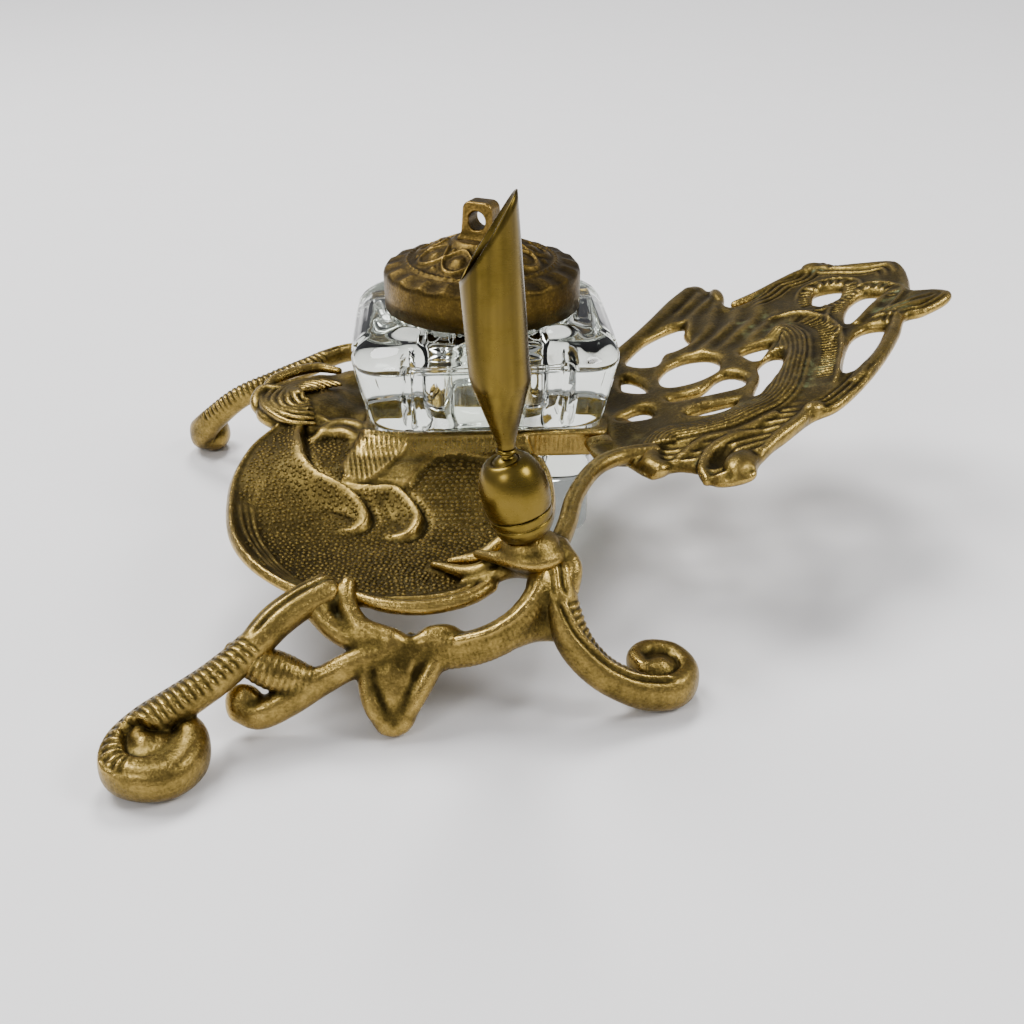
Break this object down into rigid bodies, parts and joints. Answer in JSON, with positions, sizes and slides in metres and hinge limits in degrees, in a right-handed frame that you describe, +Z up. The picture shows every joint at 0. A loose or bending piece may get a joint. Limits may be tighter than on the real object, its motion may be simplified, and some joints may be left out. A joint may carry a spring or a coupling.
{
  "type": "desk inkstand",
  "caption": "Cast-brass desk inkstand: dished pen tray on scroll feet, pierced leaf wing, lidded square glass inkwell in a frame and a swivelling funnel pen holder.",
  "frame": {"origin": "middle of the footprint's bounding box, on the table the feet stand on", "axes": "+X towards the leaf wing's tip, +Y from the pen holder towards the back, +Z up"},
  "size_m": [0.2316, 0.2036, 0.1179],
  "materials": {
    "cast_brass": "aged cast brass, dark olive patina in the hollows, worn bright on the edges",
    "lid_brass": "aged cast brass, satin, browner than the stand",
    "spun_brass": "satin turned and rolled brass",
    "steel": "plain steel, hidden",
    "clear_glass": "clear pressed glass, faintly green"
  },
  "bodies": {
    "stand": {"well_frame": "cast_brass", "pen_tray": "cast_brass", "leaf_curl": "cast_brass", "leaf_wing": "cast_brass", "near_strut": "cast_brass", "front_apron": "cast_brass", "leg_front_left": "cast_brass", "leg_front_right": "cast_brass", "leg_back_left": "cast_brass", "leg_back_right": "cast_brass", "pen_boss": "cast_brass", "socket_base": "spun_brass", "socket_cap": "spun_brass", "seat_spring": "steel", "mount_screw": "steel", "screw_washer": "steel"},
    "inkwell": {"glass_well": "clear_glass"},
    "lid": {"lid_cap": "lid_brass", "lid_knob": "lid_brass"},
    "seat": {"ball_seat": "steel"},
    "ball": {"swivel_ball": "spun_brass"},
    "funnel": {"funnel_ferrule": "spun_brass", "pen_funnel": "spun_brass"}
  },
  "joints": [
    {"name": "inkwell_lift", "type": "slide", "parent": "stand", "child": "inkwell", "axis": [0, 0, 1], "range_m": [0, 0.06]},
    {"name": "lid_lift", "type": "slide", "parent": "inkwell", "child": "lid", "axis": [0, 0, 1], "range_m": [0, 0.03]},
    {"name": "holder_turn", "type": "hinge", "parent": "stand", "child": "seat", "pos_m": [-0.01797, -0.058, 0.05546], "axis": [-0.2571, 0, 0.9664], "continuous": true},
    {"name": "holder_tilt", "type": "hinge", "parent": "seat", "child": "ball", "pos_m": [-0.01797, -0.058, 0.05546], "axis": [0, 1, 0], "range_deg": [-28, 10]},
    {"name": "funnel_spin", "type": "hinge", "parent": "ball", "child": "funnel", "pos_m": [-0.01797, -0.058, 0.05546], "axis": [-0.0749, 0, 0.9972], "continuous": true}
  ]
}
